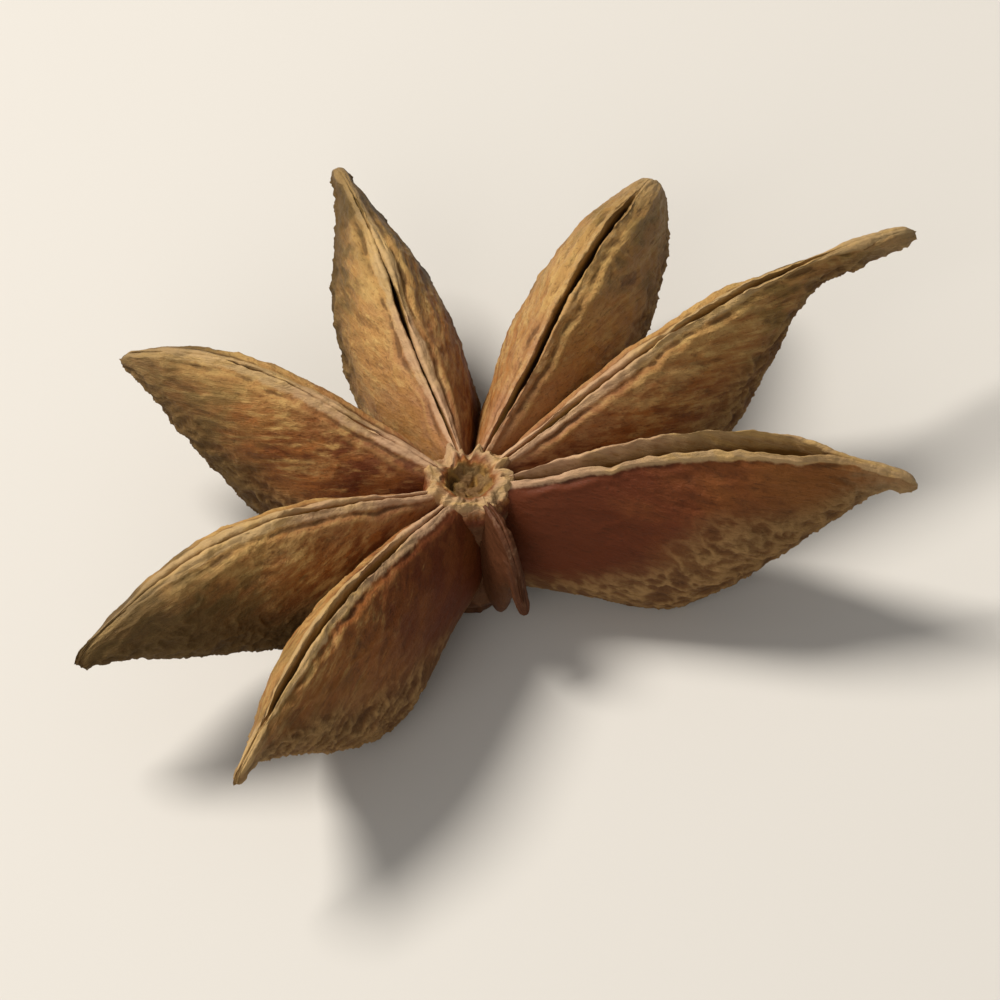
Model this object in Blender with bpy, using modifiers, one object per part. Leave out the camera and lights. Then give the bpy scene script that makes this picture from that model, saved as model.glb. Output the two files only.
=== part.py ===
"""A dried star anise pod, about 33 mm from tip to tip, as one solid.

Eight carpels stand round a short column. Each carpel is a narrow boat: a split seam
with two raised lips along its top, bulging sides, a rounded keel underneath and a
small beak at its outer end. One of the eight never grew, and is only a thin fin.
The carpels are lofts, and Boolean modifiers join them to the turned column, open the
small hollow in its top, and flatten the spots that the pod rests on.

Run it with: blender --background --python part.py
The pod stands on the plane z = 0, with the column's axis on Z.
"""

import math
from dataclasses import dataclass

import bmesh
import bpy
from mathutils import Matrix, Vector

MM = 0.001

# The column, in millimetres
HUB_TOP = 5.6           # height of the rim round the hollow
HOLLOW_RADIUS = 0.70    # the hollow where the seams meet
HOLLOW_DEPTH = 0.8
RIM_RADIUS = 1.45       # outside of the rim
WAIST_RADIUS = 1.55     # the column halfway down
FOOT_RADIUS = 1.9       # the column where the keels leave it
FOOT_HEIGHT = 0.9       # underside of the column, above the table
SCAR_RADIUS = 1.1       # the broken stalk, whose flat end stands on the table
TURN_STEPS = 24

# What all carpels share, in millimetres or as a share of the carpel's reach
ROOT_RADIUS = 1.0       # where a carpel starts, inside the column's wall
NECK_WIDTH = 0.42       # half width at the column
LIP_THICKNESS = 0.34
LIP_HEIGHT = 0.10       # how far a lip stands above the ridge
LIP_INSIDE = 0.06       # how far below the ridge a lip's inner edge lies
LIP_DROP = 0.35         # how far its outer edge lies below, for each mm of thickness
LIP_SHARE = 0.55        # the most of a narrow section that one lip takes up
SLIT_DEPTH = 2.3
SLIT_FLOOR = 0.45       # width of the slit's bottom, as a share of its top
SLIT_CLOSED = 0.05      # half width of a seam that stays shut
CREASE_DEPTH = 0.15     # depth of a seam that stays shut
SLIT_SLOPE = 8          # depth gained for each mm that the half width grows
SHOULDER = 0.16         # angle from a lip's edge to the flank's first point
RISE_POWER = 0.8        # below 1 the spindle swells soon after the column
OPEN_BASE = 1.1         # how much a carpel's base spreads into the ungrown one's place
TIP_DEPTH = 2.2         # top to bottom at the tip, for each mm of its half width
BEAK_FLARE = 5.0        # how fast the beak deepens towards the column
END_BULGE = 0.2         # how far the tip's last facets stand out
KEEL_TURN = 0.38        # where the keel stops falling and starts to rise
KEEL_SWELL = 0.18       # how much fuller a section is below its middle
STATIONS = 20           # sections along a carpel
CROWDING = 0.02         # how much closer the first and last sections stand
SIDE_STEPS = 6          # points down each side of a section
TABLE_DEPTH = 4.0       # thickness of the block that flattens the resting spots
TABLE_SIZE = 60.0       # its length and width
CLEAR = 2.0             # how far the hollow's cutter stands out of the column


@dataclass
class Carpel:
    """One carpel. Lengths are in millimetres, and angles in degrees."""

    name: str
    azimuth: float          # direction, counted from +X towards +Y
    reach: float            # column axis to beak tip
    girth: float = 1.75     # half width at the fullest section
    fullest: float = 0.44   # where that section is, as a share of the reach
    hump: float = 1.7       # rise of the seam between column and tip
    tip_rise: float = 0.0   # height of the tip above the rim
    taper: float = 1.25     # below 1 the spindle's outer end is blunt, above 1 it is fine
    beak: float = 0.06      # slender end, as a share of the reach
    tip: float = 0.27       # half width at the very end
    gape: float = 0.18      # half width of the open seam
    sweep: float = 0.0      # sideways bend of the tip
    roll: float = 0.0       # lean about its own length
    open_side: int = 0      # 1 or -1 where its left or right faces the ungrown carpel
    keel: float = -0.12     # lowest point of the keel; below 0 it is flattened
    belly: float = 1.25     # 1 is a straight rise to the beak, more is rounder


GROWN = (
    Carpel("east", 0, 14.9, girth=1.85, hump=1.75, gape=0.52, roll=-2, open_side=-1),
    Carpel("north_east", 37, 18.5, girth=1.75, fullest=0.38, hump=1.9, tip_rise=0.9,
           beak=0.22, gape=0.20, sweep=-0.5, keel=0.25, belly=1.0),
    Carpel("north", 67, 15.4, girth=2.0, fullest=0.55, hump=1.8, tip_rise=-0.1,
           taper=0.7, beak=0.02, tip=0.5, gape=0.22, sweep=-0.3, roll=5, belly=1.8),
    Carpel("north_west", 106, 15.1, girth=1.9, fullest=0.46, hump=1.5, gape=0.17,
           sweep=0.4, roll=-6, keel=0.1),
    Carpel("west", 152, 13.1, girth=1.85, hump=1.6, tip_rise=-0.1, taper=1.0,
           beak=0.04, tip=0.36, gape=SLIT_CLOSED, sweep=0.3, roll=-3),
    Carpel("south_west", 207, 14.8, girth=1.65, fullest=0.5, hump=1.75, tip_rise=-0.7,
           taper=0.9, beak=0.04, tip=0.4, gape=0.18, sweep=0.5, roll=3, keel=1.6,
           belly=1.2),
    Carpel("south", 238, 15.2, girth=1.80, hump=1.5, beak=0.08, gape=0.22, sweep=0.5,
           roll=2, open_side=1),
)
UNGROWN = Carpel("fin", 299, 3.9, girth=0.40, hump=0.1, tip_rise=-2.6, beak=0.2,
                 tip=0.24, gape=SLIT_CLOSED, keel=1.1)


def ease(x):
    """0 up to x = 0, 1 from x = 1, and a smooth S between."""
    x = min(max(x, 0.0), 1.0)
    return x * x * (3 - 2 * x)


def seam_height(carpel, u):
    """Height of the ridge at the share u of the reach: an arch that is fullest past
    the middle, on a line that runs from the rim to the tip."""
    arch = math.sin(math.pi * u ** 1.2)
    return HUB_TOP + carpel.hump * arch + carpel.tip_rise * u ** 3


def body_end(carpel):
    """Where the beak starts, as a share of the reach."""
    return 1 - carpel.beak


def keel_height(carpel, u):
    """Height of the underside: it falls from the column to the keel's lowest point,
    then climbs to the beak, and follows the seam out to the tip. The finer the beak,
    the more the climb is an S."""
    if u < KEEL_TURN:
        root = max(FOOT_HEIGHT, carpel.keel)
        return root + (carpel.keel - root) * ease(u / KEEL_TURN)
    climb = min((u - KEEL_TURN) / (body_end(carpel) - KEEL_TURN), 1.0) ** carpel.belly
    climb += min(1.0, 4 * carpel.beak) * (ease(climb) - climb)
    depth = TIP_DEPTH * carpel.tip * (1 + BEAK_FLARE * (1 - u))
    return carpel.keel + (seam_height(carpel, u) - depth - carpel.keel) * climb


def half_width(carpel, u, side):
    """Half the width at u: a spindle on a neck that thins out towards the tip. The
    spindle rises as a sine up to its fullest section and falls as a cosine. Beside
    the ungrown carpel the base spreads too."""
    neck = NECK_WIDTH + (carpel.tip - NECK_WIDTH) * u
    if u < carpel.fullest:
        spindle = math.sin(0.5 * math.pi * u / carpel.fullest) ** RISE_POWER
    else:
        fall = min((u - carpel.fullest) / (body_end(carpel) - carpel.fullest), 1.0)
        spindle = max(math.cos(0.5 * math.pi * fall), 0.0) ** carpel.taper
    width = neck + (carpel.girth - neck) * spindle
    if side == carpel.open_side:
        width = math.hypot(width, OPEN_BASE * (1 - ease(u / carpel.fullest)))
    return width


def slit_opening(carpel, u):
    """How open the seam is at u, from 0 at both ends to 1 near the middle."""
    return math.sin(math.pi * min(u / (1 - 0.6 * carpel.beak), 1.0)) ** 0.7


def half_section(carpel, u, side):
    """One side of the section at u as (sideways, height) points, from the bottom of
    the slit up to a lip, over it and down the flank to just short of the keel. The
    flank is a teardrop: sideways = sin a * (1 - k cos a)."""
    top, bottom = seam_height(carpel, u), keel_height(carpel, u)
    width, tall = half_width(carpel, u, side), top - bottom
    gap = SLIT_CLOSED + (carpel.gape - SLIT_CLOSED) * slit_opening(carpel, u)
    lip = min(LIP_THICKNESS, LIP_SHARE * width)
    edge = gap + lip
    slit = min(CREASE_DEPTH + SLIT_SLOPE * (gap - SLIT_CLOSED), SLIT_DEPTH, 0.4 * tall)
    points = [
        (SLIT_FLOOR * gap, top - slit),
        (gap, top - LIP_INSIDE),
        (gap + 0.5 * lip, top + LIP_HEIGHT * min(1.0, width)),
        (edge, top - LIP_DROP * lip),
    ]
    start = math.asin(0.8 * min(edge / width, 1.0)) + SHOULDER
    for i in range(SIDE_STEPS):
        a = start + (math.pi - start) * i / SIDE_STEPS
        across = width * math.sin(a) * (1 - KEEL_SWELL * math.cos(a))
        across = max(across, edge * (1 - i / SIDE_STEPS))
        points.append((across, bottom + tall * (1 + math.cos(a)) / 2))
    return points


def section(carpel, u):
    """The whole section at u, once round: left side, keel and right side."""
    left = half_section(carpel, u, 1)
    right = half_section(carpel, u, -1)
    keel = (0.0, keel_height(carpel, u))
    return left + [keel] + [(-across, height) for across, height in reversed(right)]


def place(carpel, u, across, height):
    """A section's point in the pod, in millimetres: leaned by the roll about
    mid-height, moved out to its radius, bent by the sweep, turned to the azimuth."""
    lean = math.radians(carpel.roll) * ease(u / 0.3)
    middle = 0.5 * (seam_height(carpel, u) + keel_height(carpel, u))
    up = height - middle
    across, up = (
        across * math.cos(lean) - up * math.sin(lean),
        across * math.sin(lean) + up * math.cos(lean),
    )
    radius = ROOT_RADIUS + (carpel.reach - ROOT_RADIUS) * u
    across += carpel.sweep * u ** 2
    point = Vector((radius, across, middle + up))
    return Matrix.Rotation(math.radians(carpel.azimuth), 3, "Z") @ point


def middle(carpel, u):
    """The point in the section at u that sees the whole outline, slit and all."""
    return 0.0, 0.5 * (seam_height(carpel, u) + keel_height(carpel, u))


def cap(body, ring, point):
    """Closes the end of a loft with a fan of triangles round a point."""
    tip = body.verts.new(point)
    for a, b in zip(ring, ring[1:] + ring[:1]):
        body.faces.new((a, b, tip))


def loft(carpel):
    """A closed mesh through all the sections of a carpel, capped at both ends."""
    body = bmesh.new()
    rings = []
    for i in range(STATIONS):
        u = i / (STATIONS - 1)
        u += CROWDING * math.sin(2 * math.pi * u)
        rings.append([body.verts.new(place(carpel, u, *p)) for p in section(carpel, u)])
    count = len(rings[0])
    for inner, outer in zip(rings, rings[1:]):
        for j in range(count):
            k = (j + 1) % count
            body.faces.new((inner[j], inner[k], outer[k], outer[j]))
    cap(body, rings[0], place(carpel, 0, *middle(carpel, 0)))
    cap(body, rings[-1], place(carpel, 1 + END_BULGE / carpel.reach, *middle(carpel, 1)))
    bmesh.ops.triangulate(body, faces=body.faces[:])
    bmesh.ops.recalc_face_normals(body, faces=body.faces[:])
    bmesh.ops.scale(body, vec=(MM, MM, MM), verts=body.verts)
    mesh = bpy.data.meshes.new(carpel.name)
    body.to_mesh(mesh)
    body.free()
    return mesh


def turned(name, profile):
    """An object turned about Z from (radius, height) points in millimetres, which
    start and end on the axis and run down the outer side."""
    body = bmesh.new()
    points = [body.verts.new((MM * r, 0, MM * z)) for r, z in profile]
    for a, b in zip(points, points[1:]):
        body.edges.new((a, b))
    mesh = bpy.data.meshes.new(name)
    body.to_mesh(mesh)
    body.free()
    obj = bpy.data.objects.new(name, mesh)
    screw = obj.modifiers.new("turn", "SCREW")
    screw.steps = screw.render_steps = TURN_STEPS
    screw.use_merge_vertices = True
    screw.merge_threshold = 0.001 * MM
    return obj


def column():
    """The column that the carpels share, with the stalk's scar under it."""
    return turned("pod", [
        (0, HUB_TOP - 0.25),
        (RIM_RADIUS - 0.2, HUB_TOP),
        (RIM_RADIUS, HUB_TOP - 0.3),
        (WAIST_RADIUS, HUB_TOP / 2),
        (FOOT_RADIUS, FOOT_HEIGHT + 0.5),
        (FOOT_RADIUS - 0.5, FOOT_HEIGHT),
        (SCAR_RADIUS + 0.15, FOOT_HEIGHT - 0.25),
        (SCAR_RADIUS, 0),
        (0, 0),
    ])


def hollow_cutter():
    """A rounded cone for the hollow in the column's top."""
    floor = HUB_TOP - HOLLOW_DEPTH
    return turned("hollow_cutter", [
        (0, HUB_TOP + CLEAR),
        (HOLLOW_RADIUS + 0.2, HUB_TOP + CLEAR),
        (HOLLOW_RADIUS, HUB_TOP - 0.1),
        (0.75 * HOLLOW_RADIUS, floor + 0.35),
        (0, floor),
    ])


def table_cutter():
    """A block below z = 0, which flattens what would reach under the table."""
    bpy.ops.mesh.primitive_cube_add(size=1, location=(0, 0, -TABLE_DEPTH * MM / 2))
    cutter = bpy.context.object
    cutter.name = "table_cutter"
    cutter.scale = (TABLE_SIZE * MM, TABLE_SIZE * MM, TABLE_DEPTH * MM)
    return cutter


def helper(obj, collection):
    """Keeps an object as a modifier's operand only."""
    for owner in obj.users_collection:
        owner.objects.unlink(obj)
    collection.objects.link(obj)
    obj.hide_render = True
    obj.display_type = "WIRE"
    return obj


def boolean(obj, operand, operation):
    modifier = obj.modifiers.new(operand.name, "BOOLEAN")
    modifier.object = operand
    modifier.operation = operation
    modifier.solver = "EXACT"


def husk_material():
    """Dry, woody husk: red brown, with little shine."""
    material = bpy.data.materials.new("husk")
    material.use_nodes = True
    shader = material.node_tree.nodes["Principled BSDF"]
    shader.inputs["Base Color"].default_value = (0.20, 0.085, 0.032, 1)
    shader.inputs["Roughness"].default_value = 0.62
    shader.inputs["Metallic"].default_value = 0.0
    return material


def main():
    for obj in list(bpy.data.objects):
        bpy.data.objects.remove(obj, do_unlink=True)
    shown = bpy.data.collections.new("star_anise_pod")
    helpers = bpy.data.collections.new("helpers")
    bpy.context.scene.collection.children.link(shown)
    bpy.context.scene.collection.children.link(helpers)

    pod = column()
    shown.objects.link(pod)
    pod.data.materials.append(husk_material())
    for carpel in GROWN + (UNGROWN,):
        body = bpy.data.objects.new("carpel_" + carpel.name, loft(carpel))
        boolean(pod, helper(body, helpers), "UNION")
    boolean(pod, helper(hollow_cutter(), helpers), "DIFFERENCE")
    boolean(pod, helper(table_cutter(), helpers), "DIFFERENCE")


main()
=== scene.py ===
# %% [markdown]
# # A dried star anise pod
#
# Star anise is the woody fruit of a small evergreen tree. Its carpels stand round a short
# column like the spokes of a wheel. Each one is a little boat with a seam along its top, and
# as the fruit dries the seam splits and its two lips curl back. This lesson gives the packed
# solid its looks: every carpel becomes a dense surface with lips, wrinkles and warts, and
# one husk material colours them all. It starts by loading the solid, which stays as it is.

import math
from dataclasses import dataclass

import bpy
import numpy as np
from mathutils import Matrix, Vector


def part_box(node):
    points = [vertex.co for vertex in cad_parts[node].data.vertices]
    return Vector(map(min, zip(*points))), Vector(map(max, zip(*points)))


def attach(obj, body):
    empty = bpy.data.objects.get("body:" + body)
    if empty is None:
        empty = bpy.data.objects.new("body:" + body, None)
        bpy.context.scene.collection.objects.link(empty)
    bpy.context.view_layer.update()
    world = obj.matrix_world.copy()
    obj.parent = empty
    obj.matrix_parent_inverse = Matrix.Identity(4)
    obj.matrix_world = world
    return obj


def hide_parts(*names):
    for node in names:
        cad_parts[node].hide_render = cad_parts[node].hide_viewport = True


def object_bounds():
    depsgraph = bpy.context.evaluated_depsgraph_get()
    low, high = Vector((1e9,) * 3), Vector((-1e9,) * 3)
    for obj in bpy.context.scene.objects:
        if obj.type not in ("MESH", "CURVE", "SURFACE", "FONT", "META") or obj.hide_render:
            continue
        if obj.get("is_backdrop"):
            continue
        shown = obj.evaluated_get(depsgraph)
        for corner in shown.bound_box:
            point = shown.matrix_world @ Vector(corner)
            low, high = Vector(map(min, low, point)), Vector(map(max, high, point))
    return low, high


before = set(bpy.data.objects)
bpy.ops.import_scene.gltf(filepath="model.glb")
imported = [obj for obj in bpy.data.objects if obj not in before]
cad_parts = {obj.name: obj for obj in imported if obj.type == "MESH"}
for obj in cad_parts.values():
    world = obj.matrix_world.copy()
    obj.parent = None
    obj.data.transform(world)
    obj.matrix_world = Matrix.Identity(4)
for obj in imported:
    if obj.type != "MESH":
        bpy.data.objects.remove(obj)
cad_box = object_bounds()
pod_low, pod_high = (np.array(corner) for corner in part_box("pod"))
print("solid, in mm:", np.round((pod_high - pod_low) * 1000, 1))

# %% [markdown]
# ## One table for all carpels
#
# The fruit is as uneven as a real one: seven carpels of different length, girth and gape, and
# one that never grew. The sizes below are those of the solid, in millimetres, so that the
# surfaces lie exactly over it. A dataclass keeps each carpel on one line of the table, and
# a few more fields say what only the surface shows, such as a stretch where the lips touch.

# %% The sizes
MM = 0.001

HUB_TOP = 5.6           # height of the rim round the hollow
FOOT_HEIGHT = 0.9       # underside of the column
SCAR_RADIUS = 1.1       # the broken stalk
ROOT_RADIUS = 1.0       # where a carpel starts, inside the column's wall
NECK_WIDTH = 0.42       # half width at the column
LIP_THICKNESS = 0.34
LIP_HEIGHT = 0.10
SLIT_DEPTH = 2.3
SLIT_CLOSED = 0.05      # half width of a seam that stays shut
OPEN_BASE = 1.1         # how much a base spreads into the ungrown carpel's place
TIP_DEPTH = 2.2         # top to bottom at the tip, for each mm of its half width
BEAK_FLARE = 5.0        # how fast the beak deepens towards the column
END_BULGE = 0.2
KEEL_TURN = 0.38        # where the keel stops falling and starts to rise
KEEL_SWELL = 0.18       # how much fuller a section is below its middle


@dataclass
class Carpel:
    """One carpel. Lengths are in millimetres, and angles in degrees."""

    name: str
    azimuth: float          # direction, counted from +X towards +Y
    reach: float            # column axis to beak tip
    girth: float = 1.75     # half width at the fullest section
    fullest: float = 0.44   # where that section is, as a share of the reach
    hump: float = 1.7       # rise of the seam between column and tip
    tip_rise: float = 0.0   # height of the tip above the rim
    taper: float = 1.25     # below 1 the outer end is blunt, above 1 it is fine
    beak: float = 0.06      # slender end, as a share of the reach
    tip: float = 0.27       # half width at the very end
    gape: float = 0.18      # half width of the open seam
    sweep: float = 0.0      # sideways bend of the tip
    roll: float = 0.0       # lean about its own length
    open_side: int = 0      # 1 or -1 where its left or right faces the ungrown carpel
    keel: float = -0.12     # lowest point of the keel; below 0 it is flattened
    belly: float = 1.25     # 1 is a straight rise to the beak, more is rounder
    split: float = 1.0      # where the split ends and the lips stay joined
    touch: float = -1.0     # where the lips touch each other again
    nick: float = -1.0      # where a chip is missing from the right lip
    edge: float = 1.0       # how pale the lips are
    # How dark the outer end and the lower wall are: partly the husk's own darker tone, partly painted shade.
    end_shade_and_tone: float = 0.4       # how dark the outer end is
    warts: float = 1.0      # how warty the keel is
    # The last field, for each wall: 1 straw, 0 red brown, and below 0 painted shade; where one wall is lower than
    # the other, that is partly painted shade on the wall that lay in shade.
    ripe_and_shade: tuple = (0.5, 0.5)  # left and right wall: -1 dark brown, 0 red brown, 1 straw


GROWN = (
    Carpel("east", 0, 14.9, girth=1.85, hump=1.75, gape=0.52, roll=-2, open_side=-1,
           split=0.85, nick=0.27, edge=1.3, ripe_and_shade=(0.4, -0.3)),
    Carpel("north_east", 37, 18.5, girth=1.75, fullest=0.38, hump=1.9, tip_rise=0.9,
           beak=0.22, gape=0.20, sweep=-0.5, keel=0.25, belly=1.0, split=0.8, touch=0.42,
           ripe_and_shade=(0.6, 0.5)),
    Carpel("north", 67, 15.4, girth=2.0, fullest=0.55, hump=1.8, tip_rise=-0.1,
           taper=0.7, beak=0.02, tip=0.5, gape=0.22, sweep=-0.3, roll=5, belly=1.8,
           split=0.92, edge=0.6, ripe_and_shade=(0.6, 0.85)),
    Carpel("north_west", 106, 15.1, girth=1.9, fullest=0.46, hump=1.5, gape=0.17,
           sweep=0.4, roll=-6, keel=0.1, split=0.68, end_shade_and_tone=1.0, ripe_and_shade=(0.9, 0.45)),
    Carpel("west", 152, 13.1, girth=1.85, hump=1.6, tip_rise=-0.1, taper=1.0,
           beak=0.04, tip=0.36, gape=SLIT_CLOSED, sweep=0.3, roll=-3, end_shade_and_tone=0.8,
           ripe_and_shade=(0.35, 0.5)),
    Carpel("south_west", 207, 14.8, girth=1.65, fullest=0.5, hump=1.75, tip_rise=-0.7,
           taper=0.9, beak=0.04, tip=0.4, gape=0.18, sweep=0.5, roll=3, keel=1.6,
           belly=1.2, split=0.9, end_shade_and_tone=1.0, ripe_and_shade=(0.5, 0.65)),
    Carpel("south", 238, 15.2, girth=1.80, hump=1.5, beak=0.08, gape=0.22, sweep=0.5,
           roll=2, open_side=1, split=0.9, ripe_and_shade=(0.1, 0.4)),
)
UNGROWN = Carpel("fin", 299, 3.9, girth=0.40, hump=0.1, tip_rise=-2.6, beak=0.2,
                 tip=0.24, gape=SLIT_CLOSED, keel=1.1, edge=0.4, warts=0.1, ripe_and_shade=(-0.9, -0.9))
print("carpels:", [c.name for c in GROWN], "and the", UNGROWN.name)

# %% [markdown]
# ## Noise in numpy
#
# Wrinkles and warts are irregular, but they have a size and a direction. Value noise gives
# both: random numbers on a lattice, blended smoothly between its points. Stretching the
# lattice makes long wrinkles, and folding the noise at zero makes sharp ridges. Worked out
# here as whole arrays, it moves the vertices themselves, so that the relief is real.

# %% Gradient noise
def ease(x):
    """0 up to x = 0, 1 from x = 1, and a smooth S between: 3 x^2 - 2 x^3."""
    x = np.clip(x, 0.0, 1.0)
    return x * x * (3 - 2 * x)


def lattice(cell, seed):
    """A fixed random number from -1 to 1 at each whole-numbered point: the fraction
    that is left of a large multiple of a sine."""
    mixed = np.sin(cell @ np.array([127.1, 311.7, 74.7]) + 53.3 * seed) * 43758.5453
    return 2 * (mixed - np.floor(mixed)) - 1


def noise(points, seed=0):
    """Gradient noise from about -1 to 1: each corner of the cell has a random slope,
    and the eight slopes are blended by the eased distances to the opposite faces."""
    cell = np.floor(points)
    near = ease(points - cell)
    total = np.zeros(points.shape[:-1])
    for corner in np.ndindex(2, 2, 2):
        weight = np.where(corner, near, 1 - near).prod(axis=-1)
        offset = points - cell - corner
        slope = sum(lattice(cell + corner, seed + 0.37 * k) * offset[..., k] for k in range(3))
        total += weight * slope
    return 1.3 * total


def rough(points, seed=0, octaves=3):
    """Layers of noise, each twice as fine and half as strong as the one before."""
    layers = range(octaves)
    return sum(noise(points * 2**k + 7.7 * k, seed + k) / 2**k for k in layers)


def ridged(points, seed=0, octaves=4):
    """Sharp crests from 0 to 1: each layer is noise folded at zero, (1 - 2.2 |n|)^1.5,
    and finer layers show only on the crests of the coarser one."""
    total, weight = 0.0, 1.0
    for k in range(octaves):
        crest = (1 - 2.2 * abs(noise(points * 1.9**k + 7.7 * k, seed + k))).clip(0) ** 1.5
        total = total + weight * crest / 1.8**k
        weight = crest.clip(0.25, 1)
    return (total / 1.7).clip(0, 1)


trial = np.random.default_rng(1).uniform(-9, 9, (5000, 3))
for name, values in (("rough", rough(trial)), ("ridged", ridged(trial))):
    print(name, "lowest, mean, highest:", np.round([values.min(), values.mean(), values.max()], 2))

# %% [markdown]
# ## The carpel as a boat
#
# Four curves along the carpel set its shape: the height of the seam, the height of the keel,
# the half width, and how far the seam gapes. Each is a formula in u, which runs from 0 at
# the column to 1 at the beak's tip. They are the solid's own formulas, on arrays.

# %% The four curves along a carpel
def seam_height(c, u):
    """An arch, fullest past the middle, on a line from the rim to the tip."""
    return HUB_TOP + c.hump * np.sin(np.pi * u**1.2) + c.tip_rise * u**3


def keel_height(c, u):
    """Falls from the column to the lowest point, climbs to the beak, and follows the
    seam out to the tip. The finer the beak, the more the climb is an S."""
    root = max(FOOT_HEIGHT, c.keel)
    fall = root + (c.keel - root) * ease(u / KEEL_TURN)
    climb = np.clip((u - KEEL_TURN) / (1 - c.beak - KEEL_TURN), 0, 1) ** c.belly
    climb = climb + min(1.0, 4 * c.beak) * (ease(climb) - climb)
    depth = TIP_DEPTH * c.tip * (1 + BEAK_FLARE * (1 - u))
    rise = c.keel + (seam_height(c, u) - depth - c.keel) * climb
    return np.where(u < KEEL_TURN, fall, rise)


def half_width(c, u, side):
    """A spindle on a neck: sin(v)^0.8 up to the fullest section and cos(v)^taper after
    it, with v from 0 to pi / 2. Beside the ungrown carpel the base spreads too."""
    neck = NECK_WIDTH + (c.tip - NECK_WIDTH) * u
    rise = np.sin(0.5 * np.pi * np.clip(u / c.fullest, 0, 1)) ** 0.8
    fall = np.clip((u - c.fullest) / (1 - c.beak - c.fullest), 0, 1)
    fall = np.cos(0.5 * np.pi * fall).clip(0) ** c.taper
    width = neck + (c.girth - neck) * np.where(u < c.fullest, rise, fall)
    spread = OPEN_BASE * (1 - ease(u / c.fullest)) * (side == c.open_side)
    return np.hypot(width, spread)


def opening(c, u):
    """How open the seam is, from 0 at both ends to 1 near the middle."""
    return np.sin(np.pi * np.clip(u / (1 - 0.6 * c.beak), 0, 1)).clip(0) ** 0.7


u = np.linspace(0, 1, 5)
for c in GROWN:
    print(f"{c.name:11} seam {np.round(seam_height(c, u), 1)} keel {np.round(keel_height(c, u), 1)}")

# %% [markdown]
# ## Once round a section
#
# A section starts at the bottom of the slit, climbs its wall, rolls over the lip and runs
# down the flank to the keel. The other half is its mirror, but with noise of its own, since
# no two lips dry alike. Beside the outline the function keeps masks, one number a vertex,
# that say what is lip, slit or keel. The material reads them later, so colour and shape agree.

# %% The two lips of the seam
LIP_LEAN = 0.05         # how far a lip leans in over the slit
WALL_STEPS = 20         # points up the wall of the slit
ROLL_STEPS = 18         # points over the lip
FLANK_STEPS = 94        # points from the lip to the keel


def wave(c, u, length, seed):
    """Noise along the carpel alone, with bumps of the given length in millimetres."""
    place = np.stack([u * c.reach / length, 0 * u + 0.1 * c.azimuth, 0 * u], axis=-1)
    return noise(place, seed)


def lip_line(c, u, side):
    """Half the gap, the lip's width and its height above the ridge, along the carpel. All
    three wander, each lip for itself, and the gap closes where the lips stay joined."""
    split = ease((c.split - u) / 0.14) * (1 - np.exp(-(((u - c.touch) / 0.045) ** 2)))
    chip = np.exp(-(((u - c.nick) / 0.018) ** 2)) * (side < 0)
    ragged = 1 + 0.40 * wave(c, u, 2.3, 5 + side) + 0.35 * wave(c, u, 0.8, 9 + side)
    widest = max(c.gape - SLIT_CLOSED - LIP_LEAN, 0)
    gap = 0.02 + widest * opening(c, u) * split * ragged.clip(0.15) + 0.12 * chip
    lip = 0.12 + 0.11 * opening(c, u)
    lip = lip * (1 + 0.50 * wave(c, u, 1.9, 13 + side) + 0.45 * wave(c, u, 0.5, 17 + side))
    lift = 0.09 + 0.10 * wave(c, u, 1.4, 21 + side) + 0.09 * wave(c, u, 0.40, 25 + side)
    return gap, lip.clip(0.08), (lift - 0.20 * chip) * opening(c, u)


u = np.linspace(0, 1, 200)
for c in GROWN:
    print(f"{c.name:11} widest gap, in mm: {2 * lip_line(c, u, 1)[0].max():.2f}")


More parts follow.
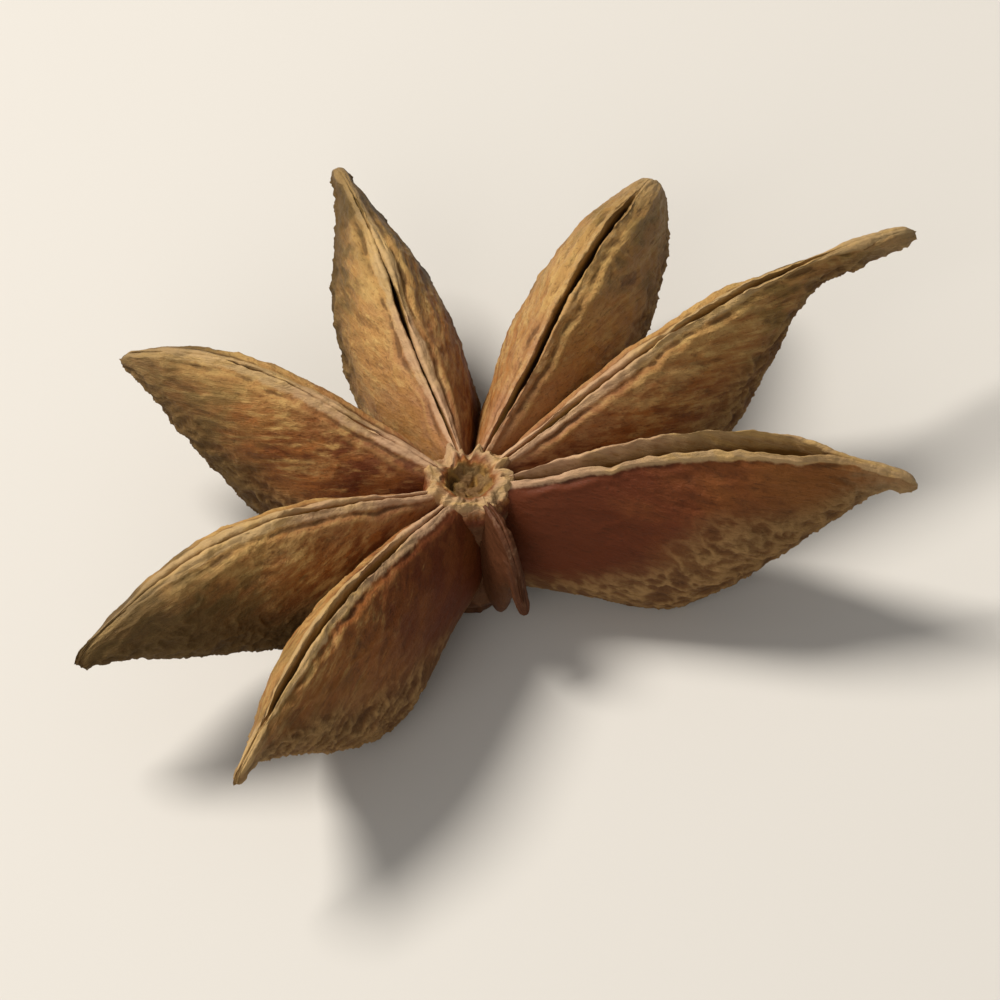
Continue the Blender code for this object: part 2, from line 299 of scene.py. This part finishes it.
# %% One half of every section
def half_section(c, u, side):
    """Half of every section as arrays of (station, point): across, height, the masks slit
    (1 at its bottom), lip (1 on the lip) and depth (1 at the keel), and the distance from
    the lip in millimetres. The lip rises as a quarter circle and slopes off outwards. The
    flank is a teardrop: across = sin a (1 - k cos a) and height = (1 + cos a) / 2."""
    top, bottom, wide = seam_height(c, u), keel_height(c, u), half_width(c, u, side)
    tall = top - bottom
    gap, lip, lift = lip_line(c, u, side)
    lip = np.minimum(lip, 0.55 * wide)
    lift = lift * np.minimum(1, wide)
    slit = 0.07 + np.minimum(7 * (gap - 0.03).clip(0), SLIT_DEPTH)
    slit = np.minimum(slit, 0.4 * tall)

    s = np.linspace(0, 1, WALL_STEPS, endpoint=False)
    lining = np.exp(-(((s - 0.76) / 0.055) ** 2)) * np.minimum(1, 4 * gap) + 0 * u
    wall_across = gap * (0.40 + 0.60 * s**0.7) - 0.06 * lining
    wall_height = top - slit + (slit - 0.04) * s

    q = np.linspace(0, 1, ROLL_STEPS, endpoint=False) ** 1.4
    crest = np.sqrt(1 - (1 - q / 0.3).clip(0) ** 2) * (1 - (q - 0.3).clip(0) / 0.7) ** 1.2
    roll_across = gap + lip * q
    roll_height = top - 0.04 - 0.10 * lip * q + (0.04 + lift) * crest

    start = np.arcsin(0.8 * np.clip((gap + lip) / wide, 0, 1)) + 0.16
    t = np.linspace(0, 1, FLANK_STEPS)
    a = start + (np.pi - start) * t
    full = wide * (1 + 0.10 * wave(c, u, 4.0, 29 + side))
    flank_across = full * np.sin(a) * (1 - KEEL_SWELL * np.cos(a))
    flank_across = np.maximum(flank_across, (gap + lip) * (1 - t) ** 3)
    flank_height = bottom + tall * (1 + np.cos(a)) / 2

    across = np.concatenate([wall_across, roll_across, flank_across], axis=1)
    height = np.concatenate([wall_height, roll_height, flank_height], axis=1)
    in_slit = np.clip((slit - 0.12) / 0.3, 0.15, 1) * (1 - 0.85 * s**1.6)
    slit_mask = np.concatenate([in_slit, 0 * roll_across, 0 * flank_across], axis=1)
    fall = np.hypot(flank_across - gap - lip, top - flank_height)
    # Near the column the lip mask, and with it the lip's pale colour, fades out twice as far down the wall: partly
    # a painted highlight on the lit top of the wall.
    fade = np.exp(-fall / (0.10 + 0.10 * (1 - ease(u / 0.4))))
    lip_mask = np.concatenate([0.8 * lining + s**5, 0 * roll_across + 1, fade], axis=1)
    depth = np.concatenate([0 * in_slit, 0 * roll_across, 0 * wide + (1 - np.cos(a)) / 2], axis=1)
    beside = np.concatenate([0 * in_slit, 0 * roll_across, fall], axis=1)
    return across, height, slit_mask, lip_mask, depth, beside


stations = np.linspace(0, 1, 9)[:, None]
print("half section, arrays of", half_section(GROWN[0], stations, 1)[0].shape)

# %% [markdown]
# ## From sections to a surface
#
# The two halves are joined into closed rings, and the rings are smoothed a little so that lip
# and flank run into each other. Each point then gets relief along the surface's own normal.
# On the real husk the walls near the column are smooth, the free part of a wall has long
# shallow wrinkles, and the keel is covered with warts. So three layers of noise share the
# work, each faded in where the real surface shows it.

# %% Relief of the husk
SLANT = np.array([0.0, 0.0, 0.30])      # wrinkles sink by this much for each mm outwards


def smooth_rings(rings, times):
    """Each point moves towards the mean of its two neighbours round the ring."""
    for _ in range(times):
        rings = 0.5 * rings + 0.25 * (np.roll(rings, 1, axis=1) + np.roll(rings, -1, axis=1))
    return rings


def surface_normals(points, centre):
    """Unit normals of a grid that closes round its second axis: the cross product of the
    differences along and round it, turned to point away from the centre line."""
    along = np.gradient(points, axis=0)
    round_ = np.roll(points, -1, axis=1) - np.roll(points, 1, axis=1)
    normal = np.cross(along, round_)
    normal /= np.linalg.norm(normal, axis=-1, keepdims=True) + 1e-12
    outward = np.sum(normal * (points - centre), axis=-1).mean()
    return normal * np.sign(outward)


def seam_fold(c, local, across, out, beside):
    """The furrow and the ridge that follow each lip, from -1 to 1: a bell a fifth of a
    millimetre from the lip taken from a wider one twice as far out. Both wander."""
    place = np.stack([local[..., 0], 3 * np.sign(across), 0 * across + c.azimuth], axis=-1)
    far = beside * (1 + 0.5 * rough(place / [1.5, 1, 1], 91, 2))
    shape = np.exp(-(((far - 0.44) / 0.13) ** 2)) - 1.1 * np.exp(-(((far - 0.20) / 0.09) ** 2))
    strength = (0.65 + 0.9 * rough(place / [2.4, 1, 1], 94, 2)).clip(0, 1.2)
    return shape * strength * ease(out / 0.15) * ease((0.92 - out) / 0.25) * min(1, c.reach / 12)


def husk_relief(c, local, across, out, lip, slit, depth, beside):
    """Height of the relief in millimetres, with three patterns from 0 to 1: where the
    husk is warty, its warts, and how high a point stands, from a crease to a crest."""
    seed = c.azimuth
    bend = 0.40 * np.stack([rough(local / 1.5, seed + k, 3) for k in range(3)], axis=-1)
    bent = local + bend + local[..., :1] * SLANT
    swell = 0.16 * rough(local / [3.8, 2.4, 2.4], seed + 20, 2)
    fold = 0.10 * rough(bent / [7.0, 1.1, 1.1], seed + 26, 2)
    wrinkle = ridged(bent / [2.2, 0.46, 0.46], seed + 30, 4) - 0.35
    wart = 0.65 * ridged(bent / [0.95, 0.48, 0.48], seed + 40, 4)
    wart += 0.35 * ridged(bent / [0.40, 0.26, 0.26], seed + 45, 2)
    grit = rough(local / 0.24, seed + 70, 2)
    edge = np.stack([local[..., 0] / 1.1, across / 0.11, 0 * across], axis=-1)
    groove = rough(edge, seed + 50, 2)
    free = ease((out - 0.10) / 0.45)
    bare = (1 - lip) * (1 - slit)
    warty = c.warts * ease((depth - 0.54 + 0.30 * free + 0.9 * swell) / 0.34) * bare
    fine = 0.080 * wrinkle * (0.25 + 0.75 * free) * (1 - warty)
    fine += 0.22 * (wart - 0.35) * warty * (0.35 + 0.65 * free)
    fine += 0.022 * grit * (0.35 + 0.65 * warty)
    relief = swell * ease(out / 0.2) + fold * (0.3 + 0.7 * free)
    relief = relief * (1 - slit) + fine * bare
    relief += (0.030 * rough(local / 0.28, seed + 60, 2) + 0.025 * groove) * lip
    seam = seam_fold(c, local, across, out, beside) * (1 - slit)
    relief += 0.075 * seam
    stand = np.clip(0.5 + fine * bare / (0.10 + 0.12 * warty) + 0.45 * seam, 0, 1)
    return relief, warty, wart, stand


print("relief layers: swell, wrinkles, warts and the lips' own grain")

# %% [markdown]
# The last helper turns a grid into a mesh. Its rings are closed, its two ends are closed with
# a fan round one vertex each, and masks are stored as named attributes on the vertices.

# %% Grid to mesh
def add_mesh(name, points, centre_ends, masks):
    """A closed mesh from points (ring, step, 3) in metres, with a fan at each end."""
    rings, steps = points.shape[:2]
    corner = np.arange(rings * steps).reshape(rings, steps)
    following = np.roll(corner, -1, axis=1)
    quads = np.stack([corner[:-1], following[:-1], following[1:], corner[1:]], axis=-1).reshape(-1, 4)
    first, last = rings * steps, rings * steps + 1
    fans = [np.stack([following[0], corner[0], np.full(steps, first)], axis=-1),
            np.stack([corner[-1], following[-1], np.full(steps, last)], axis=-1)]
    triangles = np.concatenate(fans)
    vertices = np.concatenate([points.reshape(-1, 3), centre_ends])
    a, b, d = (vertices[quads[:, k]] for k in (0, 1, 3))
    if np.sum(a * np.cross(b, d)) < 0:
        quads, triangles = quads[:, ::-1], triangles[:, ::-1]

    mesh = bpy.data.meshes.new(name)
    mesh.vertices.add(len(vertices))
    mesh.vertices.foreach_set("co", vertices.ravel())
    mesh.loops.add(quads.size + triangles.size)
    mesh.loops.foreach_set("vertex_index", np.concatenate([quads.ravel(), triangles.ravel()]))
    mesh.polygons.add(len(quads) + len(triangles))
    starts = np.concatenate([4 * np.arange(len(quads)), quads.size + 3 * np.arange(len(triangles))])
    mesh.polygons.foreach_set("loop_start", starts)
    mesh.polygons.foreach_set("use_smooth", np.ones(len(starts), dtype=bool))
    mesh.update(calc_edges=True)
    mesh.validate()

    for mask, values in masks.items():
        kind = "FLOAT_VECTOR" if values.ndim == 3 else "FLOAT"
        flat = values.reshape(rings * steps, -1)
        ends = np.stack([values[0].mean(axis=0), values[-1].mean(axis=0)]).reshape(2, -1)
        field = "vector" if kind == "FLOAT_VECTOR" else "value"
        mesh.attributes.new(mask, kind, "POINT").data.foreach_set(field, np.concatenate([flat, ends]).ravel())
    piece = bpy.data.objects.new(name, mesh)
    bpy.context.scene.collection.objects.link(piece)
    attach(piece, "root")
    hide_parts("pod")
    print(f"{name:20} {len(quads) * 2 + len(triangles):6d} triangles")
    return piece


# %% Make the carpels
STATIONS_PER_MM = 15


def carpel_piece(c):
    """One carpel: sections, relief along the normal, then lean, sweep and azimuth."""
    count = int(c.reach * STATIONS_PER_MM)
    u = np.linspace(0, 1, count)
    u = (u + 0.12 * np.sin(2 * np.pi * u) / (2 * np.pi))[:, None]
    right, left = half_section(c, u, 1), half_section(c, u, -1)
    rings = []
    for k, (r, l) in enumerate(zip(right, left)):
        sign = -1 if k == 0 else 1
        rings.append(np.concatenate([r, sign * l[:, -2::-1]], axis=1))
    across, height, slit, lip, depth, beside = (smooth_rings(ring, 2) for ring in rings)

    tip = 1 - ((u - 1 + 0.6 / c.reach).clip(0) * c.reach / 0.6) ** 2
    middle = 0.5 * (seam_height(c, u) + keel_height(c, u))
    round_off = np.sqrt(tip.clip(0.02))
    across, height = across * round_off, middle + (height - middle) * round_off

    radius = ROOT_RADIUS + (c.reach - ROOT_RADIUS) * u
    lean = math.radians(c.roll) * ease(u / 0.3)
    up = height - middle
    side = across * np.cos(lean) - up * np.sin(lean) + c.sweep * u**2
    up = across * np.sin(lean) + up * np.cos(lean)
    local = np.stack([radius + 0 * side, side, middle + up], axis=-1)
    centre = np.stack([radius, c.sweep * u**2, middle], axis=-1)

    out = u * min(1, c.reach / 12) + 0 * slit
    relief, warty, wart, stand = husk_relief(c, local, across, out, lip, slit, depth, beside)
    bulge = relief[..., None] * surface_normals(local, centre)
    moved = local + bulge
    turn = math.radians(c.azimuth)
    spin = np.array([[math.cos(turn), math.sin(turn), 0], [-math.sin(turn), math.cos(turn), 0], [0, 0, 1]])
    placed = moved @ spin
    placed[..., 2] = np.maximum(placed[..., 2], 0)
    ends = np.stack([centre[0, 0], centre[-1, 0] + [0.5 * END_BULGE, 0, 0]]) @ spin
    facing = 0.5 + 0.5 * np.tanh(across / 0.4)
    masks = dict(grain=local + local[..., :1] * SLANT, slit=slit, lip=c.edge * lip,
                 depth=depth, warty=warty, wart=wart, stand=stand, along=out,
                 # how dark the outer end is: partly its own tone, partly painted shade
                 end_shade_and_tone=c.end_shade_and_tone + 0 * slit,
                 # ripeness of each wall; below 0, and partly on a wall that lay in shade, it is painted shade
                 ripe_and_shade=c.ripe_and_shade[1] + (c.ripe_and_shade[0] - c.ripe_and_shade[1]) * facing)
    return add_mesh("carpel_" + c.name, placed * MM, ends * MM, masks)


pieces = [carpel_piece(c) for c in GROWN + (UNGROWN,)]

# %% [markdown]
# ## The hub
#
# In the middle the seams run into a ragged pale ring, with a lump where each pair of lips
# ends, round a small hollow with pits; hollow and pits are painted darker as shade. Below it
# is the column, and under that the torn end of the stalk, both painted dark as shade. One
# surface of revolution makes all of it: a profile from the bottom of the hollow, over the
# rim, down the column and in under the stalk, carried round the axis while the rim's height
# and radius change with the angle.

# %% The hub, column and stalk
HUB_PROFILE = (  # radius and height, from the hollow to the stalk's flat end
    (0.02, HUB_TOP - 0.52), (0.36, HUB_TOP - 0.50), (0.62, HUB_TOP - 0.32),
    (0.78, HUB_TOP - 0.04), (0.98, HUB_TOP + 0.10), (1.22, HUB_TOP + 0.04),
    (1.44, HUB_TOP - 0.16), (1.55, HUB_TOP - 0.50), (1.52, HUB_TOP - 1.6),
    (1.55, HUB_TOP / 2), (1.72, FOOT_HEIGHT + 1.0), (1.90, FOOT_HEIGHT + 0.5),
    (1.60, FOOT_HEIGHT + 0.05), (1.25, FOOT_HEIGHT - 0.25), (1.12, FOOT_HEIGHT - 0.45),
    (SCAR_RADIUS, 0.12), (SCAR_RADIUS - 0.1, 0.0), (0.5, 0.0), (0.02, 0.0),
)


def hub_piece():
    """Profile (radius, height) carried round the axis, with two lumps on the rim at each
    carpel's azimuth: the sum of bells exp(-(angle / width)^2), no two alike."""
    profile = np.array(HUB_PROFILE)
    run = np.concatenate([[0], np.cumsum(np.linalg.norm(np.diff(profile, axis=0), axis=1))])
    t = np.linspace(0, run[-1], 230)
    radius, height = (np.interp(t, run, profile[:, k])[:, None] for k in (0, 1))
    for _ in range(6):
        radius[1:-1] = 0.5 * radius[1:-1] + 0.25 * (radius[2:] + radius[:-2])
        height[1:-1] = 0.5 * height[1:-1] + 0.25 * (height[2:] + height[:-2])
    angle = np.linspace(0, 2 * np.pi, 210, endpoint=False)[None, :]

    rim = np.exp(-(((radius - 1.18) / 0.38) ** 2)) * ease((height - HUB_TOP + 1.0) / 0.8)
    hollow = ease((0.90 - radius) / 0.25) * ease((height - HUB_TOP + 2) / 0.5)
    turns = np.array([math.radians(c.azimuth + side * 7) for c in GROWN + (UNGROWN,) for side in (-1, 1)])
    count = np.stack([np.arange(len(turns))] * 3, axis=-1)
    turns = turns + math.radians(3) * lattice(count, 88)
    away = np.angle(np.exp(1j * (angle[..., None] - turns)))
    lumps = np.exp(-((away / (0.11 + 0.04 * lattice(count, 89))) ** 2))
    lumps = (lumps * (1 + 0.7 * lattice(count, 90))).sum(axis=-1)
    flat = np.stack([radius * np.cos(angle), radius * np.sin(angle), height + 0 * angle], axis=-1)
    ragged = rough(flat / 0.42, 71, 3)
    pits = ease((rough(flat / 0.55, 77, 2) - 0.05) / 0.4) * hollow
    knots = ridged(flat / [0.50, 0.50, 0.9], 74, 3)
    torn = rough(flat / [0.25, 0.25, 1.2], 83, 3) * ease((0.7 - height) / 0.4) * ease((height - 0.03) / 0.1)

    radius = radius * (1 + rim * (0.17 * (lumps - 0.4) + 0.13 * ragged))
    radius = radius + 0.10 * torn + 0.10 * ragged * ease((HUB_TOP - 0.5 - height) / 1.0) * ease((height - 1) / 0.5)
    height = height + rim * (0.16 * (lumps - 0.5) + 0.16 * ragged + 0.26 * (knots - 0.4))
    height = height - 0.20 * pits + 0.10 * ragged * hollow
    points = np.stack([radius * np.cos(angle), radius * np.sin(angle), height + 0 * angle], axis=-1)
    points[..., 2] = np.maximum(points[..., 2], 0)
    centre = np.stack([points[0].mean(axis=0), points[-1].mean(axis=0)])
    blank = np.zeros(points.shape[:2])
    top = ease((height - HUB_TOP + 0.9) / 0.6)
    # The masks paint light as well: painted shade in the hollow and its pits, painted shade and highlight on the
    # creases and knots of the rim, and painted shade on the column and stalk below the rim.
    masks = dict(grain=flat, slit=0.8 * pits, lip=blank + rim, depth=blank + 0.35 * (1 - rim),
                 warty=0.15 * (1 - top) + 0.3 * hollow, wart=0.4 + 0.4 * ragged,
                 stand=(0.15 + 0.75 * knots) * rim + (0.45 + 0.4 * ragged) * (1 - rim),
                 along=blank + 0.42 * rim + 0.9 * hollow, end_shade_and_tone=blank + 0.7 * hollow,
                 ripe_and_shade=1.3 * top - 1)
    return add_mesh("hub", points * MM, centre * MM, masks)


pieces.append(hub_piece())

# %% [markdown]
# ## Shader maths as expressions
#
# A node tree is easier to read as a formula. This small class wraps a socket, so that
# mask * 0.5 or 1 - mask adds a Math node, and one method adds any other node.

# %% Nodes as expressions
class Signal:
    """A node's output in an expression."""

    def __init__(self, graph, socket):
        self.graph = graph
        self.socket = socket

    def math(self, operation, a, b):
        return self.graph.node("ShaderNodeMath", {"operation": operation}, {0: a, 1: b})

    def __add__(self, other):
        return self.math("ADD", self, other)

    def __sub__(self, other):
        return self.math("SUBTRACT", self, other)

    def __rsub__(self, other):
        return self.math("SUBTRACT", other, self)

    def __mul__(self, other):
        return self.math("MULTIPLY", self, other)

    def __pow__(self, other):
        return self.math("POWER", self, other)

    __radd__ = __add__
    __rmul__ = __mul__


class Graph:
    """A material and its nodes."""

    def __init__(self, name):
        self.material = bpy.data.materials.new(name)
        self.material.use_nodes = True
        self.tree = self.material.node_tree
        self.tree.nodes.clear()

    def node(self, kind, settings=None, inputs=None, output=0):
        """Adds a node: its settings first, then the values or links of its sockets."""
        made = self.tree.nodes.new(kind)
        for key, value in (settings or {}).items():
            setattr(made, key, value)
        for key, value in (inputs or {}).items():
            if isinstance(value, Signal):
                self.tree.links.new(value.socket, made.inputs[key])
            else:
                made.inputs[key].default_value = value
        return Signal(self, made.outputs[output]) if made.outputs else made

    def mask(self, name, output="Fac"):
        return self.node("ShaderNodeAttribute", {"attribute_name": name}, output=output)

    def step(self, value, low, high):
        """0 below low, 1 above high, and smooth between."""
        inputs = {"Value": value, "From Min": low, "From Max": high}
        return self.node("ShaderNodeMapRange", {"interpolation_type": "SMOOTHSTEP"}, inputs)

    def mix(self, factor, a, b):
        inputs = {0: factor, 6: a, 7: b}
        return self.node("ShaderNodeMix", {"data_type": "RGBA"}, inputs, output=2)

    def grain(self, vector, stretch, scale, detail=3.0, roughness=0.55):
        """Noise from 0 to 1 on a vector stretched by a Mapping node."""
        mapped = self.node("ShaderNodeMapping", None, {"Vector": vector, "Scale": stretch})
        inputs = {"Vector": mapped, "Scale": scale, "Detail": detail, "Roughness": roughness}
        return self.node("ShaderNodeTexNoise", None, inputs)


print("expression helpers are ready")

# %% [markdown]
# ## The husk
#
# A dry husk is many browns at once. Near the column it is smooth and red brown, further out
# straw and tan, and on the warty keel a dull grey brown. The lips and beaks are the palest.
# Light is painted in as well: painted shade lies nearly black at the bottom of the slit, and
# darker in the creases, between the warts, on the ungrown carpel and the column, and at the
# outer ends, mixed there with their own darker tone. Painted highlights lie on crests, on
# wart tops and along the top of each wall. The masks of the surface pick the colour, and
# noise stretched along each carpel breaks it into streaks and blotches. The sheen follows:
# the smooth walls are satin, and the keel is matt.

# %% The husk material
RED_BROWN = (0.110, 0.024, 0.006, 1)
CHESTNUT = (0.250, 0.085, 0.018, 1)
AMBER = (0.390, 0.145, 0.030, 1)
TAN = (0.390, 0.198, 0.060, 1)
# Gold: the husk's own golden streaks and lips, and also painted highlights on the top of the walls and on crests.
GOLD_TONE_AND_HIGHLIGHT = (0.510, 0.320, 0.110, 1)
OLIVE = (0.235, 0.142, 0.036, 1)
# Dark olive for the outer ends, the lower walls and the hub's hollow: partly their own tone, partly painted shade.
END_SHADE_AND_TONE = (0.062, 0.036, 0.010, 1)
PALE = (0.440, 0.305, 0.150, 1)
ROSE = (0.500, 0.315, 0.185, 1)
# Mauve brown for the upper wall near the column: partly the husk's own tint, partly a painted highlight.
MAUVE_TONE_AND_HIGHLIGHT = (0.290, 0.128, 0.060, 1)
# The warty keel's own grey brown, darkened as painted shade in the pits between the warts and where the keel lies
# low in shade.
KEEL_BROWN_AND_PIT_SHADE = (0.145, 0.072, 0.026, 1)
# A painted highlight on the tops of the warts.
WART_HIGHLIGHT = (0.340, 0.205, 0.080, 1)
# Dark brown for painted shade in the creases of the relief, and for the fibres and pores of the husk's grain.
CREASE_SHADE_AND_GRAIN = (0.050, 0.017, 0.005, 1)
# Painted shade for the ungrown carpel and for the column and stalk under the rim, which lie in shade between the
# carpels.
PAINTED_SHADE = (0.085, 0.036, 0.016, 1)
INNER = (0.285, 0.158, 0.044, 1)
# Nearly black: painted shade at the bottom of the slit and in the pits of the hub's hollow.
SLIT_BOTTOM_SHADE = (0.042, 0.017, 0.006, 1)


def husk_material():
    g = Graph("husk_dried")
    along, depth, lip, slit = g.mask("along"), g.mask("depth"), g.mask("lip"), g.mask("slit")
    warty, wart, ripe_and_shade, stand = g.mask("warty"), g.mask("wart"), g.mask("ripe_and_shade"), g.mask("stand")
    where, end_shade_and_tone = g.mask("grain", "Vector"), g.mask("end_shade_and_tone")
    blotch = g.grain(where, (0.55, 0.8, 0.8), 0.75)
    patch = g.grain(where, (0.7, 1.1, 1.1), 1.3, 4.0)
    streak = g.grain(where, (0.30, 2.2, 2.2), 1.5, 5.0, 0.62)
    speck = g.grain(where, (1, 1, 1), 3.6, 5.0, 0.65)
    fibre = g.grain(where, (0.35, 3.2, 3.2), 3.2, 6.0, 0.66)
    pore = g.grain(where, (1, 1.3, 1.3), 9.0, 3.0, 0.7)

    grown = g.step(along + 0.4 * ripe_and_shade + 0.8 * blotch, 0.55, 1.15)
    colour = g.mix(grown, RED_BROWN, CHESTNUT)
    glow = g.step(patch, 0.46, 0.60) * g.step(0.80 - along, 0, 0.3) * ripe_and_shade
    colour = g.mix(glow * 1.3, colour, AMBER)
    straw = g.step(0.5 * along + ripe_and_shade + 1.4 * streak - 0.6 * depth, 0.95, 1.50)
    colour = g.mix(straw, colour, TAN)
    colour = g.mix(g.step(streak + 0.5 * speck, 0.72, 0.90) * straw * 0.8, colour, GOLD_TONE_AND_HIGHLIGHT)
    olive = g.step(patch, 0.48, 0.60) * g.step(along, 0.40, 0.70) * g.step(ripe_and_shade, -0.2, 0.6)
    colour = g.mix(olive * 0.7, colour, OLIVE)
    # The outer end of a carpel, reaching further down a wall that is darker; the painted shade below follows this
    # mask.
    end = g.step(along + 0.5 * (patch - 0.5) + 0.55 * depth * end_shade_and_tone, 0.50, 0.92)
    # A painted highlight: a golden band along the top of each wall, where the light falls.
    ridge = g.step(0.20 - depth + 0.4 * (streak - 0.5), 0.0, 0.16) * g.step(along, 0.25, 0.55)
    colour = g.mix(ridge * g.step(ripe_and_shade, 0.1, 0.6) * 0.4, colour, GOLD_TONE_AND_HIGHLIGHT)
    red = g.step(0.42 - along + 0.6 * (patch - 0.5), 0.0, 0.3) * g.step(depth, 0.15, 0.55)
    colour = g.mix(red * 0.75, colour, RED_BROWN)
    # Near the column the top of each wall turns mauve: partly the husk's own tint, partly a painted highlight where
    # light falls on the rounded top.
    near_hub = g.step(0.50 - along + 0.8 * (blotch - 0.5), 0.0, 0.40)
    upper = g.step(0.38 - depth + 0.8 * (streak - 0.5), 0.0, 0.38)
    colour = g.mix(near_hub * upper * g.step(ripe_and_shade, 0.0, 0.7) * 0.8, colour, MAUVE_TONE_AND_HIGHLIGHT)
    # Painted shade where the ripeness is below 0: the ungrown carpel, and the column and stalk under the rim.
    colour = g.mix(g.step(0 - ripe_and_shade, 0.3, 1.0) * 0.75, colour, PAINTED_SHADE)
    # On the warty keel: painted shade in the pits and a painted highlight on the wart tops, over its own grey
    # brown.
    keel_tone_shade_and_highlight = g.mix(g.step(wart + 0.35 * (speck - 0.5), 0.25, 0.70), KEEL_BROWN_AND_PIT_SHADE, WART_HIGHLIGHT)
    colour = g.mix(warty * 0.8, colour, keel_tone_shade_and_highlight)
    # Painted shade in the creases of the relief.
    colour = g.mix(g.step(0.47 - stand, 0.0, 0.30) * 0.60, colour, CREASE_SHADE_AND_GRAIN)
    # A painted highlight on the crests of the relief.
    crest = g.step(stand, 0.60, 0.95) * (0.2 + 0.8 * ripe_and_shade)
    colour = g.mix(crest * 0.4, colour, GOLD_TONE_AND_HIGHLIGHT)
    colour = g.mix(g.step(fibre, 0.53, 0.68) * 0.45, colour, CREASE_SHADE_AND_GRAIN)
    colour = g.mix(g.step(pore, 0.56, 0.70) * 0.40, colour, CREASE_SHADE_AND_GRAIN)
    # Painted shade, with some of the husk's own darker tone: the outer ends, the lower walls and the hub's hollow
    # darken.
    colour = g.mix(end * end_shade_and_tone * 0.85, colour, END_SHADE_AND_TONE)
    # Beaks and lips keep less of their pale colour where the end is darkened with painted shade.
    beak = g.step(along + 0.25 * speck, 0.92, 1.10)
    colour = g.mix(beak * 0.6 * (1 - end_shade_and_tone), colour, PALE)
    rim = g.mix(near_hub, g.mix(g.step(streak, 0.44, 0.60) * 0.6, PALE, GOLD_TONE_AND_HIGHLIGHT), ROSE)
    pale = g.step(lip + 0.9 * (speck - 0.5), 0.40, 0.95)
    colour = g.mix(pale * (0.50 + 0.6 * streak) * (1 - 0.6 * end * end_shade_and_tone), colour, rim)
    colour = g.mix(g.step(slit, 0.10, 0.45) * (1 - 0.8 * pale), colour, INNER)
    # Painted shade at the bottom of the slit and in the pits of the hub's hollow.
    colour = g.mix(g.step(slit, 0.55, 1.0), colour, SLIT_BOTTOM_SHADE)

    relief = (0.7 * fibre + 0.3 * pore) * (0.4 + 0.6 * g.step(along, 0.1, 0.5))
    bump = g.node("ShaderNodeBump", None, {"Strength": 0.9, "Distance": 0.00013, "Height": relief})
    inputs = {
        "Base Color": colour,
        "Roughness": 0.42 + 0.20 * warty + 0.22 * fibre,
        "Specular IOR Level": 0.15,
        "Normal": bump,
    }
    shader = g.node("ShaderNodeBsdfPrincipled", None, inputs)
    g.node("ShaderNodeOutputMaterial", None, {"Surface": shader})
    return g.material


husk = husk_material()
for piece in pieces:
    piece.data.materials.append(husk)
print("husk material:", len(husk.node_tree.nodes), "nodes")

# %% [markdown]
# ## Floor, light and camera
#
# A plain pale floor, one large soft light from above and behind, a weak one in front, and a
# long lens, because the pod was seen from half a metre away and the view is a small part of
# the frame.

# %% The stage
FLOOR_SIZE = 3.0
VIEW_ELEVATION = math.radians(48)
VIEW_DISTANCE = 0.47
VIEW_WIDTH = 0.0335


def plain_material(name, colour, roughness):
    g = Graph(name)
    shader = g.node("ShaderNodeBsdfPrincipled", None, {"Base Color": colour, "Roughness": roughness})
    g.node("ShaderNodeOutputMaterial", None, {"Surface": shader})
    return g.material


half = FLOOR_SIZE / 2
floor_mesh = bpy.data.meshes.new("floor")
floor_mesh.from_pydata([(-half, -half, 0), (half, -half, 0), (half, half, 0), (-half, half, 0)], [], [(0, 1, 2, 3)])
floor = bpy.data.objects.new("floor", floor_mesh)
floor.data.materials.append(plain_material("floor_paper", (0.62, 0.60, 0.57, 1), 0.9))
bpy.context.scene.collection.objects.link(floor)
floor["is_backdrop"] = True


def aim(obj, place, target):
    """Moves an object to a place and turns its -Z axis to the target."""
    from mathutils import Vector

    obj.location = place
    obj.rotation_euler = (Vector(target) - Vector(place)).to_track_quat("-Z", "Y").to_euler()


def soft_light(name, place, size, power, colour=(1, 1, 1)):
    data = bpy.data.lights.new(name, "AREA")
    data.shape = "DISK"
    data.size = size
    data.energy = power
    data.color = colour
    light = bpy.data.objects.new(name, data)
    bpy.context.scene.collection.objects.link(light)
    aim(light, place, (0, 0, 0.004))


soft_light("key", (-0.22, 0.11, 0.32), 0.15, 2.1, (1.0, 0.95, 0.87))
soft_light("fill", (-0.12, -0.34, 0.22), 0.30, 0.55, (1.0, 0.96, 0.90))

world = bpy.data.worlds.new("studio")
bpy.context.scene.world = world
world.use_nodes = True
world.node_tree.nodes["Background"].inputs["Color"].default_value = (1.0, 0.98, 0.95, 1)
world.node_tree.nodes["Background"].inputs["Strength"].default_value = 0.22

target = 0.5 * (pod_low + pod_high)
camera_data = bpy.data.cameras.new("camera")
camera_data.sensor_width = 36
camera_data.lens = 36 * VIEW_DISTANCE / VIEW_WIDTH
camera_data.clip_start = 0.01
camera = bpy.data.objects.new("camera", camera_data)
bpy.context.scene.collection.objects.link(camera)
back = np.array([0, -math.cos(VIEW_ELEVATION), math.sin(VIEW_ELEVATION)])
aim(camera, tuple(target + VIEW_DISTANCE * back), tuple(target))
bpy.context.scene.camera = camera
bpy.context.scene.view_settings.view_transform = "Standard"
print("lens, in mm:", round(camera_data.lens))

# %% Size and table
visual_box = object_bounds()
sizes = {"cad": [list(map(float, corner)) for corner in cad_box],
         "visual": [list(map(float, corner)) for corner in visual_box]}
print("box of the solid and of the looks, in mm:")
for name, (low, high) in sizes.items():
    print(f"{name:7}", np.round(np.array(low) * 1000, 2), np.round(np.array(high) * 1000, 2))
